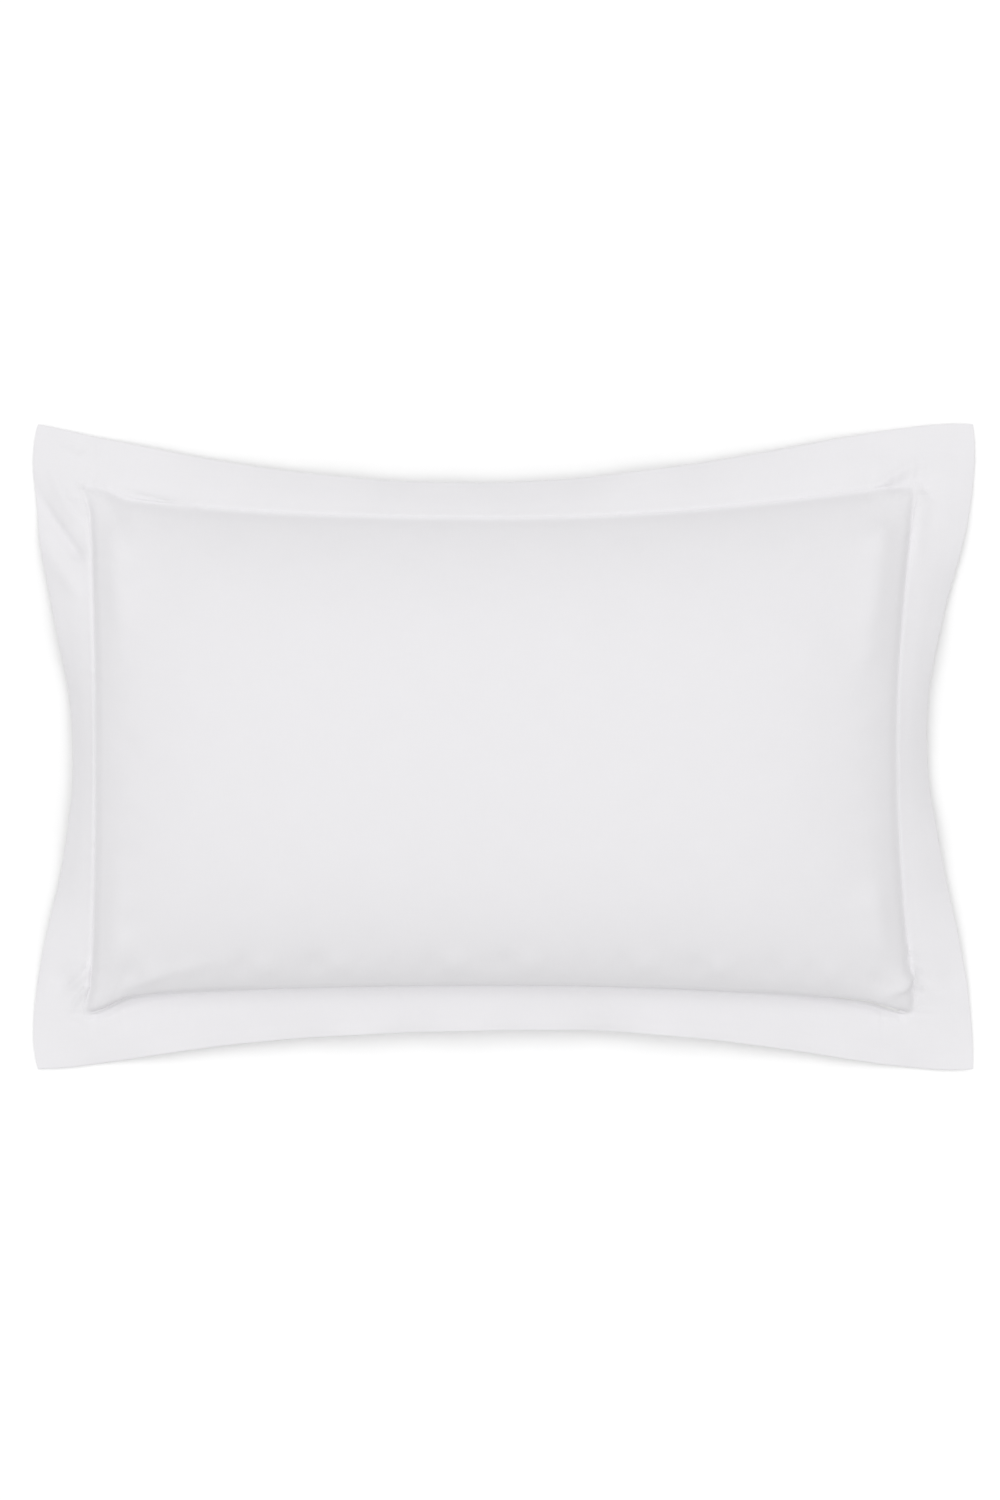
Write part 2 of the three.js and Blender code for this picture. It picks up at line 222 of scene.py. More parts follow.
CORNER_EDGE_HEIGHT = 0.005
CROWN_STEEPNESS = (3.0, 2.2)  # along and across the pillow
CROWN_ROUNDNESS = 0.56
UPPER_ROUNDNESS = 0.72  # towards the top edge, where the crown falls more gently
RESTING_SHARE = 0.45
BELLY_ROUNDNESS = 0.6
SAG = 0.005  # the filling settles towards the bottom edge
SAG_RISE = 0.02  # height above the seam over which it does

BORDER_SHARE = 2 * BORDER / POCKET  # border width as a share of half the pocket, each way

# Studio: the camera looks straight down, and the view is so long at the border's height
SKY = 0.60
SUN = 1.60
SUN_SPREAD = 60
SUN_FROM = (-0.04, 0.09, 1)
CAMERA_PLACE = (-0.0048, -0.003, 2.8)
SENSOR = 36
VIEW_LONG = 1.320
BORDER_HEIGHT = 0.03
FLOOR_HALF = 6

# ------------------------ the filled shape


def mix(a, b, share):
    return a + (b - a) * share


def smooth_step(value, low, high):
    t = np.clip((value - low) / (high - low), 0, 1)
    return t * t * (3 - 2 * t)


def run(t, ease, shift=0.0):
    """0 at both ends of a side, 1 at its deepest point."""
    t = np.clip(t, -1, 1)
    t = t - shift * (1 - t * t)
    power = np.where(t < 0, ease[0], ease[1])
    return np.maximum(0, 1 - t * t) ** power


def flare(t, sizes):
    """A swelling beside each corner."""
    t = np.clip(t, -1, 1)
    return np.where(t < 0, sizes[0], sizes[1]) * t**6 * (1 - t * t) / FLARE_PEAK


def across_sides(u, v, value, corner):
    """Spreads over the pocket what value(side, t) gives along its sides and its corners all share."""
    long = mix(value("left", v), value("right", v), (1 + u) / 2)
    wide = mix(value("bottom", u), value("top", u), (1 + v) / 2)
    return long + wide - corner


def height_on_sides(u, v, key, corner):
    return across_sides(u, v, lambda side, t: mix(corner, SIDES[side][key], 1 - t * t), corner)


def seam_and_edge(u, v):
    """The heights of the pocket's seam and of the border's outer edge, spread over the pocket."""
    seam = height_on_sides(u, v, "seam_height", CORNER_SEAM_HEIGHT)
    return seam, height_on_sides(u, v, "edge_height", CORNER_EDGE_HEIGHT)


def pocket_plan(u, v):
    """Where the pocket point (u, v), from -1 to 1 each way, lies once the sides are drawn in."""

    def inward(side, t):
        return SIDES[side]["seam"] * run(t, SIDES[side]["seam_ease"]) * smooth_step(1 - abs(t), 0, EARS)

    x = u * SEAM_HALF[0] - (1 + u) / 2 * inward("right", v) + (1 - u) / 2 * inward("left", v)
    y = v * SEAM_HALF[1] - (1 + v) / 2 * inward("top", u) + (1 - v) / 2 * inward("bottom", u)
    return x + SEAM_CENTRE[0], y + SEAM_CENTRE[1]


def edge_distance(place, sides, half, t):
    """How far from the middle the outer edge is on the first side, where place is below 0, or the second."""

    def distance(facts):
        return half - facts["edge"] * run(t, facts["edge_ease"], facts["shift"]) + flare(t, facts["flare"])

    return np.where(place < 0, *(distance(SIDES[side]) for side in sides))


def plan(p, q):
    """Plan place of the flat pattern's point (p, q), 1 at the seam and more in the border."""
    u, v = np.clip(p, -1, 1), np.clip(q, -1, 1)
    out_long = (abs(p) - abs(u)) / BORDER_SHARE[0]
    out_wide = (abs(q) - abs(v)) / BORDER_SHARE[1]
    t_long, t_wide = p / (1 + BORDER_SHARE[0]), q / (1 + BORDER_SHARE[1])
    half_long, half_wide = OUTER_HALF
    end = edge_distance(p, ("left", "right"), half_long, t_wide)
    side = edge_distance(q, ("bottom", "top"), half_wide, t_long)
    x, y = pocket_plan(u, v)
    x = mix(x, u / (1 + BORDER_SHARE[0]) * half_long, out_wide)
    y = mix(y, v / (1 + BORDER_SHARE[1]) * half_wide, out_long)
    x = mix(x, np.sign(p) * end, out_long)
    y = mix(y, np.sign(q) * side, out_wide)
    return u, v, x, y, 1 - (1 - out_long) * (1 - out_wide)


def crown_share(u, v):
    long = np.maximum(0, 1 - abs(u) ** CROWN_STEEPNESS[0]) ** CROWN_ROUNDNESS
    roundness = np.where(v > 0, UPPER_ROUNDNESS, CROWN_ROUNDNESS)
    wide = np.maximum(0, 1 - abs(v) ** CROWN_STEEPNESS[1]) ** roundness
    return long * wide


def belly_share(u, v):
    def roll(t):
        beyond = np.maximum(0, abs(t) - RESTING_SHARE) / (1 - RESTING_SHARE)
        return np.maximum(0, 1 - beyond**2) ** BELLY_ROUNDNESS

    return roll(u) * roll(v)


def case_surface(p, q, belly):
    """The filled case's upper or lower surface over the flat pattern, as an array of points."""
    u, v, x, y, out = plan(p, q)
    level = mix(*seam_and_edge(u, v), out)
    if belly:
        z = mix(level, RESTING_LEVEL, belly_share(u, v))
    else:
        z = mix(level, CROWN_HEIGHT, crown_share(u, v))
        y = y - SAG * (1 - np.exp(-(z - level) / SAG_RISE))
    return np.stack([x, y, z], -1)


# ------------------------ the sewn case, blown up


def pattern_lines(length, cells):
    """Grid lines of the flat pattern one way: border, pocket, border."""
    outside = length / 2 + BORDER * np.arange(1, BORDER_CELLS + 1) / BORDER_CELLS
    return np.concatenate([-outside[::-1], np.linspace(-length / 2, length / 2, cells + 1), outside])


LINES = [pattern_lines(length, cells) for length, cells in zip(POCKET, CELLS)]


def ripple(distance, waves, seed):
    """A smooth unrepeating wave, about 1 high: waves holds the wavelengths that it is mixed from."""
    turns = np.random.default_rng(seed).uniform(0, 2 * math.pi, len(waves))
    parts = [np.sin(2 * math.pi * distance / wave + turn) for wave, turn in zip(waves, turns)]
    return sum(parts) / math.sqrt(len(waves))


def border_waves(x, y):
    """How far the border's outer edge lifts and dips where nothing holds it."""
    half = POCKET / 2
    out = np.maximum(abs(x) - half[0], abs(y) - half[1]).clip(0) / BORDER
    on_end = abs(x) - half[0] > abs(y) - half[1]
    along = np.where(on_end, y, x)
    seeds = np.where(on_end, np.sign(x), 2 * np.sign(y))
    wave = sum(ripple(along, BORDER_WAVES, 40 + seed) * (seeds == seed) for seed in (-2, -1, 1, 2))
    calm = (1 - (along / (np.where(on_end, half[1], half[0]) + BORDER)) ** 2).clip(0)
    return BORDER_WAVE_HEIGHT * wave * out * calm


def border_curl(p, q):
    """How far the border bulges over a straight slope from the seam down to its outer edge."""
    u, v, _, _, out = plan(p, q)
    seam, edge = seam_and_edge(u, v)
    return (seam - edge) * (out - out**BORDER_CURL)


def filled_shape():
    """The filled case over the flat pattern as two grids of points that share the border."""
    x, y = np.meshgrid(*LINES, indexing="ij")
    p, q = 2 * x / POCKET[0], 2 * y / POCKET[1]
    top, under = case_surface(p, q, False), case_surface(p, q, True)
    top[..., 2] += border_waves(x, y)
    pocket, inside, outer = parts_of_pattern(x, y)
    loose = ~pocket & ~outer
    for _ in range(BORDER_EASING):
        eased = top.copy()
        eased[1:-1, 1:-1] = (top[2:, 1:-1] + top[:-2, 1:-1] + top[1:-1, 2:] + top[1:-1, :-2]) / 4
        top[loose] = eased[loose]
    top[..., 2] += border_curl(p, q)
    under[~inside] = top[~inside]
    return top, under


def parts_of_pattern(x, y):
    """Which places are on the pocket with its seam, on it within the seam, and on the outer edge."""
    long, wide = abs(x) - POCKET[0] / 2, abs(y) - POCKET[1] / 2
    beyond = np.maximum(long, wide)
    return beyond < HAIR, beyond < -HAIR, beyond > BORDER - HAIR


def sewn_case(top, under):
    """The same grids once the cloth, which remembers its flat size, is blown up from the filled shape."""
    x, y = np.meshgrid(*LINES, indexing="ij")
    pocket, inside, outer = parts_of_pattern(x, y)

    top_ids = np.arange(top[..., 0].size).reshape(x.shape)
    under_ids = top_ids.copy()
    under_ids[inside] = top_ids.size + np.arange(inside.sum())

    def quads(ids, first, last):
        a = ids[first[0] : last[0], first[1] : last[1]]
        return np.stack([a[:-1, :-1], a[1:, :-1], a[1:, 1:], a[:-1, 1:]], -1).reshape(-1, 4)

    first = (BORDER_CELLS, BORDER_CELLS)
    last = tuple(n - BORDER_CELLS for n in x.shape)
    faces = np.vstack([quads(top_ids, (0, 0), x.shape), quads(under_ids, first, last)[:, ::-1]])
    start = np.vstack([top.reshape(-1, 3), under[inside]])
    flat = np.zeros_like(start)
    flat[:, 0] = np.concatenate([x.ravel(), x[inside]])
    flat[:, 1] = np.concatenate([y.ravel(), y[inside]])

    mesh = bpy.data.meshes.new("sewn_case")
    mesh.from_pydata(start.tolist(), [], faces.tolist())
    sewn = new_object("sewn_case", mesh)
    sewn.shape_key_add(name="Basis")
    cut = sewn.shape_key_add(name="cut")
    cut.data.foreach_set("co", flat.astype(np.float32).ravel())
    cut.value = 0

    patch = RESTING_SHARE * POCKET / 2
    resting = inside & (abs(x) < patch[0]) & (abs(y) < patch[1])
    blown = sewn.vertex_groups.new(name="blown")
    blown.add(np.unique(np.concatenate([top_ids[pocket], under_ids[pocket]])).tolist(), 1, "REPLACE")
    held = sewn.vertex_groups.new(name="held")
    pinned = np.concatenate([top_ids[pocket & ~inside], top_ids[outer], under_ids[resting]])
    held.add(pinned.tolist(), 1, "REPLACE")

    cloth = sewn.modifiers.new("Cloth", "CLOTH")
    settings = cloth.settings
    settings.quality = QUALITY
    settings.mass = MASS
    settings.tension_stiffness = TENSION
    settings.compression_stiffness = COMPRESSION
    settings.shear_stiffness = SHEAR
    settings.bending_stiffness = BENDING
    settings.use_pressure = True
    settings.uniform_pressure_force = PRESSURE
    settings.vertex_group_pressure = "blown"
    settings.vertex_group_mass = "held"
    settings.rest_shape_key = cut
    settings.effector_weights.gravity = 0
    cloth.collision_settings.use_collision = False
    cloth.point_cache.frame_end = SIM_FRAMES
    for step in range(1, SIM_FRAMES + 1):
        bpy.context.scene.frame_set(step)
    settled = np.empty(start.size, np.float32)
    sewn.evaluated_get(bpy.context.evaluated_depsgraph_get()).data.vertices.foreach_get("co", settled)
    settled = settled.reshape(-1, 3).astype(float)
    bpy.context.scene.frame_set(1)
    bpy.data.objects.remove(sewn)

    moved = settled - start
    far = np.linalg.norm(moved, axis=1, keepdims=True)
    settled = start + moved * np.minimum(1, FURTHEST_MOVE / np.maximum(far, 1e-9))
    top, under = settled[top_ids], settled[under_ids]
    under[..., 2] = np.maximum(under[..., 2], RESTING_LEVEL)
    return top, under


# ------------------------ reading the cloth between its grid lines


def weights(lines, targets, creased):
    """A matrix that reads values held on the lines at the targets; creased has it break at the seams."""
    found = np.zeros((len(targets), len(lines)))
    seams = [0, BORDER_CELLS, len(lines) - 1 - BORDER_CELLS, len(lines) - 1]
    if not creased:
        seams = [0, len(lines) - 1]
    for first, last in zip(seams[:-1], seams[1:]):
        rows = np.flatnonzero((targets >= lines[first] - 1e-9) & (targets <= lines[last] + 1e-9))
        cell = np.clip(np.searchsorted(lines, targets[rows], "right") - 1 - first, 0, last - first - 1)
        t = (targets[rows] - lines[first + cell]) / (lines[first + cell + 1] - lines[first + cell])
        shares = (
            -t / 2 + t**2 - t**3 / 2,
            1 - 5 * t**2 / 2 + 3 * t**3 / 2,
            t / 2 + 2 * t**2 - 3 * t**3 / 2,
            (t**3 - t**2) / 2,
        )
        found[rows] = 0
        for step, share in zip((-1, 0, 1, 2), shares):
            column = first + cell + step
            near = np.clip(column, first, last)
            over = near != column
            next_in = np.clip(column, first + 1, last - 1)
            np.add.at(found, (rows, near), np.where(over, 2, 1) * share)
            np.add.at(found, (rows[over], next_in[over]), -share[over])
    return found


def unit(vectors):
    return vectors / np.maximum(np.linalg.norm(vectors, axis=-1, keepdims=True), 1e-12)


def facing_of(points):
    """Unit normals of a grid of points."""
    return unit(np.cross(np.gradient(points, axis=0), np.gradient(points, axis=1)))


class Surface:
    """One face of the simulated case; up is 1 for the upper sheet and -1 for the lower one."""

    def __init__(self, points, up):
        self.points = points
        self.up = up
        self.normals = up * facing_of(points)

    def read(self, xs, ys, form):
        """Points and normals; a seam creases the cloth only as far as the pocket's corners."""
        past_x, past_y = abs(xs) > POCKET[0] / 2, abs(ys) > POCKET[1] / 2
        found = []
        for values in (self.points, self.normals):
            kinds = {}
            for crease_x in (True, False):
                for crease_y in (True, False):
                    wx = weights(LINES[0], xs, crease_x)
                    wy = weights(LINES[1], ys, crease_y)
                    kinds[crease_x, crease_y] = np.einsum(form, wx, values, wy, optimize=True)
            if form == "ia,abk,jb->ijk":
                past_a, past_b = past_x[:, None, None], past_y[None, :, None]
            else:
                past_a, past_b = past_x[:, None], past_y[:, None]
            within = np.where(past_a, kinds[True, False], kinds[True, True])
            beyond = np.where(past_a, kinds[False, False], kinds[False, True])
            found.append(np.where(past_b, beyond, within))
        return found[0], unit(found[1])

    def grid(self, xs, ys):
        """Points and normals where the pattern's lines at xs and ys cross."""
        points, normals = self.read(xs, ys, "ia,abk,jb->ijk")
        x, y = np.meshgrid(xs, ys, indexing="ij")
        return points + normals * self.creases(x, y)[..., None], normals

    def path(self, xs, ys):
        """Points and normals at the places (xs[i], ys[i])."""
        points, normals = self.read(xs, ys, "ia,abk,ib->ik")
        return points + normals * self.creases(xs, ys)[..., None], normals

    def creases(self, x, y):
        """Height of the small forms: the seam's ridge, the gathers beside it and the folds at the corners."""
        half = POCKET / 2
        beyond = np.stack([abs(x) - half[0], abs(y) - half[1]])
        on_end = beyond[0] > beyond[1]
        away = np.where(on_end, beyond[0], beyond[1])
        along = np.where(on_end, y, x)
        seeds = np.where(on_end, np.sign(x), 2 * np.sign(y))
        gathers = np.zeros_like(x)
        for seed in (-2, -1, 1, 2):
            strength = mix(1, ripple(along, PUCKER_GROUPS, 20 + seed), PUCKER_UNEVENNESS)
            gathers += ripple(along, PUCKER_WAVES, 10 + seed) * strength * (seeds == seed)
        share = abs(away) / np.where(away > 0, PUCKER_REACH_OUT, PUCKER_REACH_IN)
        height = PUCKER_HEIGHT * gathers * share * np.exp(1 - share)
        past_ridge = away - RIDGE_PLACE
        width = np.where(past_ridge < 0, *RIDGE_WIDTHS)
        height += RIDGE_HEIGHT * np.exp(-((past_ridge / width) ** 2))
        height += self.scallops(x, y)
        for fold in FOLDS:
            height += fold_height(x, y, *fold)
        return height if self.up > 0 else np.where(away > 0, -height, 0)

    def scallops(self, x, y):
        """Soft folds where the filling presses the cloth out beside the seams, most of all at the bottom."""
        found = np.zeros_like(x)
        half = POCKET / 2
        sides = ((x, y + half[1]), (x, half[1] - y), (y, x + half[0]), (y, half[0] - x))
        for seed, (along, away) in enumerate(sides):
            wave = ripple(along, SCALLOP_WAVES, 50 + seed)
            reach = np.exp(-(((away - SCALLOP_PLACE) / SCALLOP_REACH) ** 2))
            found += SCALLOP_HEIGHTS[seed] * wave * reach
        return found


def fold_height(x, y, start, end, bend, width, rise):
    """A ridge over the flat pattern, or a valley where rise is negative, bowed sideways by bend. It comes up
    quickly at its start and fades towards its end. Millimetres."""
    start, end = np.array(start) / 1000, np.array(end) / 1000
    run_length = np.linalg.norm(end - start)
    way = (end - start) / run_length
    dx, dy = x - start[0], y - start[1]
    t = (dx * way[0] + dy * way[1]) / run_length
    side = dy * way[0] - dx * way[1] - bend / 1000 * 4 * t * (1 - t)
    fade = smooth_step(t, 0, FOLD_FADE[0]) * (1 - smooth_step(t, FOLD_FADE[1], 1))
    return rise / 1000 * fade / (1 + (side / (width / 1000)) ** 2) ** FOLD_SHARPNESS


# ------------------------ cloth, stitches and other pieces


def new_object(name, data):
    made = bpy.data.objects.new(name, data)
    bpy.context.scene.collection.objects.link(made)
    return made


def new_piece(name, points, faces, slot, node, flat=None):
    """A mesh piece in the CAD's frame; flat holds each vertex's place on the pattern, for the weave."""
    mesh = bpy.data.meshes.new(name)
    points = np.asarray(points, np.float32).reshape(-1, 3)
    faces = np.asarray(faces, np.int32)
    mesh.vertices.add(len(points))
    mesh.vertices.foreach_set("co", points.ravel())
    mesh.loops.add(faces.size)
    mesh.loops.foreach_set("vertex_index", faces.ravel())
    mesh.polygons.add(len(faces))
    mesh.polygons.foreach_set("loop_start", np.arange(0, faces.size, faces.shape[1], dtype=np.int32))
    mesh.update(calc_edges=True)
    mesh.shade_smooth()
    if flat is not None:
        held = mesh.attributes.new("flat", "FLOAT_VECTOR", "POINT")
        held.data.foreach_set("vector", np.asarray(flat, np.float32).ravel())
    piece = new_object(name, mesh)
    mesh.materials.append(MATERIALS[slot])
    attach(piece, "root")
    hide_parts(node)
    return piece


def shell(middle, normals, thickness, kept=None):
    """Points and faces of a closed sheet round a grid of middle points; kept says which cells are cloth."""
    rows, columns = middle.shape[:2]
    kept = np.ones((rows - 1, columns - 1), bool) if kept is None else kept
    half = normals * thickness / 2
    points = np.concatenate([(middle + half).reshape(-1, 3), (middle - half).reshape(-1, 3)])
    outer = np.arange(rows * columns).reshape(rows, columns)
    inner = outer + rows * columns

    def cells(ids):
        return np.stack([ids[:-1, :-1], ids[1:, :-1], ids[1:, 1:], ids[:-1, 1:]], -1)[kept]

    faces = [cells(outer), cells(inner)[:, ::-1]]
    padded = np.pad(kept, 1)
    for axis in (0, 1):
        before = np.take(padded, range(padded.shape[axis] - 1), axis)
        after = np.take(padded, range(1, padded.shape[axis]), axis)
        before = before[:, 1:-1] if axis == 0 else before[1:-1]
        after = after[:, 1:-1] if axis == 0 else after[1:-1]
        a, b = (outer[:, :-1], outer[:, 1:]) if axis == 0 else (outer[:-1], outer[1:])
        c, d = (inner[:, 1:], inner[:, :-1]) if axis == 0 else (inner[1:], inner[:-1])
        ring = np.stack([a, b, c, d], -1)
        starts, ends = ring[after & ~before], ring[before & ~after]
        faces += [starts, ends[:, ::-1]] if axis == 0 else [starts[:, ::-1], ends]
    faces = np.concatenate(faces)
    used, places = np.unique(faces, return_inverse=True)
    return points[used], places.reshape(-1, 4), used


def pattern_places(x, y, used):
    """The places on the flat pattern of a shell's used points."""
    flat = np.stack([x, y, 0 * x], -1).reshape(-1, 3)
    return np.concatenate([flat, flat])[used]


class Section:
    """The lines of a panel one way, and where the cloth is turned back there.

    places are on the flat pattern; depth is how far a hem's turned layers lie inside the panel; edge is how
    far round the fold into a seam allowance each line is, from 0 on the panel to 1 on the allowance."""

    def __init__(self, lines):
        self.places = np.asarray(lines, float)
        self.depth = np.zeros_like(self.places)
        self.edge = np.zeros_like(self.places)
        self.level = np.zeros(len(self.places), int)

    def add(self, at_end, places, depth, edge, level):
        new = [np.asarray(a, float) * np.ones(len(places)) for a in (places, depth, edge, level)]
        old = (self.places, self.depth, self.edge, self.level)
        joined = [np.concatenate([o, n] if at_end else [n[::-1], o]) for o, n in zip(old, new)]
        self.places, self.depth, self.edge, self.level = joined

    def allowance(self, at_end):
        """Folds the end of the panel in, as it lies inside an outer seam."""
        way = 1 if at_end else -1
        end = self.places[-1 if at_end else 0]
        fold = end + way * FOLD * np.sin(FOLD_ANGLES)
        back = end - way * np.linspace(0, ALLOWANCE, ALLOWANCE_LINES + 1)[1:]
        self.add(at_end, fold[1:], 0, (1 - np.cos(FOLD_ANGLES[1:])) / 2, 1)
        self.add(at_end, back, 0, 1, 2)
        return self

    def hem(self, at_end, width, tuck):
        """Turns the end of the panel under twice, so that its cut edge is hidden."""
        way = 1 if at_end else -1
        for length, drop in ((width, 2 * LAYER), (tuck, -LAYER)):
            edge, start = (self.places[-1], self.depth[-1]) if at_end else (self.places[0], self.depth[0])
            fold = edge + way * abs(drop) / 2 * np.sin(FOLD_ANGLES)
            back = edge - way * np.linspace(0, length, HEM_LINES + 1)[1:]
            self.add(at_end, fold[1:], start + drop * (1 - np.cos(FOLD_ANGLES[1:])) / 2, 0, 1)
            self.add(at_end, back, start + drop, 0, 2)
            way = -way
        return self


def panel(name, surface, along, across, offset, allowance_offset, node):
    """A panel of the case: its lines each way are Sections, and its own and its allowances' offsets from the
    surface are functions. Where two folds meet at a corner, each is kept up to the diagonal between them."""
    points, normals = surface.grid(along.places, across.places)
    x, y = np.meshgrid(along.places, across.places, indexing="ij")
    edge = np.maximum(along.edge[:, None], across.edge[None, :])
    out = offset(x, y) - along.depth[:, None] - across.depth[None, :]
    out = mix(out, allowance_offset(x, y), edge)
    middle = points + normals * out[..., None]
    turned_x, turned_y, round_x, round_y = (
        np.maximum(row[1:], row[:-1]) for row in (along.level, across.level, along.edge, across.edge)
    )
    both = np.minimum(turned_x[:, None], turned_y[None, :])
    most = np.maximum(turned_x[:, None], turned_y[None, :])
    corner = round_x[:, None] + round_y[None, :] < 1 + HAIR
    kept = (both == 0) | (most == 1) & corner
    points, faces, used = shell(middle, surface.up * facing_of(middle), CLOTH, kept)
    if surface.up < 0:
        faces = faces[:, ::-1]
    return new_piece(name, points, faces, "percale_cotton", node, pattern_places(x, y, used))


def stitch_row(centres, out, lift, closed):
    """Points and faces of one thread of a row of lockstitches that dips into the cloth at every hole."""
    joined = centres[:1] if closed else centres[:0]
    path = np.concatenate([centres, joined])
    along = np.concatenate([[0], np.cumsum(np.linalg.norm(np.diff(path, axis=0), axis=1))])
    steps = max(1, round(along[-1] / STITCH_LENGTH)) * STITCH_STEPS
    stations = np.linspace(0, along[-1], steps + 1)[: None if not closed else -1]

    def at_stations(values):
        values = np.concatenate([values, values[: len(joined)]])
        columns = values.reshape(len(values), -1).T
        return np.stack([np.interp(stations, along, column) for column in columns], -1)

    out = unit(at_stations(out))
    rise = abs(np.sin(math.pi * np.arange(len(stations)) / STITCH_STEPS)) ** STITCH_FULLNESS
    lift = at_stations(lift) + mix(-STITCH_DIP, STITCH_HEIGHT, rise)[:, None]
    centre = at_stations(centres) + out * lift
    before, after = np.roll(centre, 1, 0), np.roll(centre, -1, 0)
    if not closed:
        before[0], after[-1] = centre[0], centre[-1]
    tangent = unit(after - before)
    side = unit(np.cross(tangent, out))
    up = np.cross(side, tangent)
    angles = np.arange(THREAD_SIDES) * 2 * math.pi / THREAD_SIDES
    across, high = np.cos(angles)[None, :, None], np.sin(angles)[None, :, None]
    rings = centre[:, None] + THREAD / 2 * (across * side[:, None] + high * up[:, None])
    ids = np.arange(rings[..., 0].size).reshape(-1, THREAD_SIDES)
    here, there = (ids, np.roll(ids, -1, 0)) if closed else (ids[:-1], ids[1:])
    faces = np.stack([here, np.roll(here, -1, 1), np.roll(there, -1, 1), there], -1).reshape(-1, 4)
    if not closed:
        halves = (0, THREAD_SIDES // 2)
        ends = (ids[0][::-1], ids[-1])
        caps = [[ring[(k + step) % THREAD_SIDES] for step in range(4)] for ring in ends for k in halves]
        faces = np.concatenate([faces, np.array(caps)])
    return rings.reshape(-1, 3), faces[:, ::-1]


def stitches(name, node, rows, closed):
    """A seam's thread as one piece: each row is (points, normals, lift above them)."""
    points, faces, count = [], [], 0
    for centres, out, lift in rows:
        lift = np.ones(len(centres)) * lift
        row_points, row_faces = stitch_row(centres, out, lift, closed)
        points.append(row_points)
        faces.append(row_faces + count)
        count += len(row_points)
    return new_piece(name, np.concatenate(points), np.concatenate(faces), "sewing_thread", node)


def loop_path(beyond):
    """Places round the pocket at a distance outside its seam, anticlockwise."""
    half = POCKET / 2 + beyond
    xs, ys = (np.linspace(-h, h, round(2 * h / PATH_STEP))[:-1] for h in half)
    x = np.concatenate([xs, np.full(len(ys), half[0]), -xs, np.full(len(ys), -half[0])])
    y = np.concatenate([np.full(len(xs), -half[1]), ys, np.full(len(xs), half[1]), -ys])
    return x, y


def fine_lines(length, low=None, high=None):
    """Lines of a panel one way, close together at the seams and wide apart in the middle."""
    half = length / 2
    t = np.linspace(-1, 1, round(length / PANEL_CELL))
    pocket = half * mix(t, np.sin(math.pi / 2 * t), CROWDING)
    outside = half + BORDER * np.linspace(0, 1, BORDER_LINES + 1)[1:] ** BORDER_CROWDING
    outside[-1] = half + BORDER - FOLD
    lines = np.concatenate([-outside[::-1], pocket, outside])
    if low is not None:
        lines = np.concatenate([[low], lines[lines > low + LIP_CLEARANCE]])
    if high is not None:
        lines = np.concatenate([lines[lines < high - LIP_CLEARANCE], [high]])
    return lines


# ------------------------ materials


class Nodes:
    """Makes and links the nodes of one material."""

    def __init__(self, name, colour, roughness):
        self.material = bpy.data.materials.new(name)
        self.material.use_nodes = True
        self.tree = self.material.node_tree
        self.shader = self.tree.nodes["Principled BSDF"]
        self.shader.inputs["Roughness"].default_value = roughness
        self.colour = colour
        self.shader.inputs["Base Color"].default_value = (*colour, 1)

    def add(self, kind, settings=(), **inputs):
        node = self.tree.nodes.new(f"ShaderNode{kind}")
        for key, value in dict(settings).items():
            setattr(node, key, value)
        for key, value in inputs.items():
            socket = node.inputs[int(key[1:])] if key[0] == "_" else node.inputs[key]
            if isinstance(value, bpy.types.NodeSocket):
                self.tree.links.new(value, socket)
            else:
                socket.default_value = value
        return node

    def math(self, operation, a, b=0.0):
        return self.add("Math", {"operation": operation}, _0=a, _1=b).outputs[0]

    def total(self, first, share, second, second_share):
        """Two values, each times its share, added up."""
        first = self.math("MULTIPLY", first, share)
        return self.math("ADD", first, self.math("MULTIPLY", second, second_share))

    def flat(self, turn=0.0, scale=(1, 1, 1)):
        """The place on the flat pattern, turned and scaled."""
        held = self.add("Attribute", {"attribute_name": "flat"}).outputs["Vector"]
        return self.add("Mapping", {}, Vector=held, Rotation=(0, 0, turn), Scale=scale).outputs[0]

    def noise(self, vector, scale, detail=2.0, rough=0.5):
        found = self.add("TexNoise", {}, Vector=vector, Scale=scale, Detail=detail, Roughness=rough)
        return found.outputs["Fac"]

    def wave(self, vector, pitch, axis):
        """Bands a pitch apart, in metres."""
        scale = 2 * math.pi / (20 * pitch)
        return self.add("TexWave", {"bands_direction": axis}, Vector=vector, Scale=scale).outputs["Fac"]

    def shade(self, fac, spread):
        """Varies the colour by a share either way."""
        ramp = self.add("ValToRGB", {}, Fac=fac)
        for element, share, place in zip(ramp.color_ramp.elements, (1 - spread, 1 + spread), (0.3, 0.7)):
            element.position = place
            element.color = (*(min(1, c * share) for c in self.colour), 1)
        self.tree.links.new(ramp.outputs["Color"], self.shader.inputs["Base Color"])

    def rough(self, fac, low, high):
        found = self.add("MapRange", {}, Value=fac, _3=low, _4=high)
        self.tree.links.new(found.outputs[0], self.shader.inputs["Roughness"])

    def bump(self, height, strength, distance):
        found = self.add("Bump", {}, Height=height, Strength=strength, Distance=distance)
        self.tree.links.new(found.outputs[0], self.shader.inputs["Normal"])

    def sheen(self, weight, roughness):
        self.shader.inputs["Sheen Weight"].default_value = weight
        self.shader.inputs["Sheen Roughness"].default_value = roughness


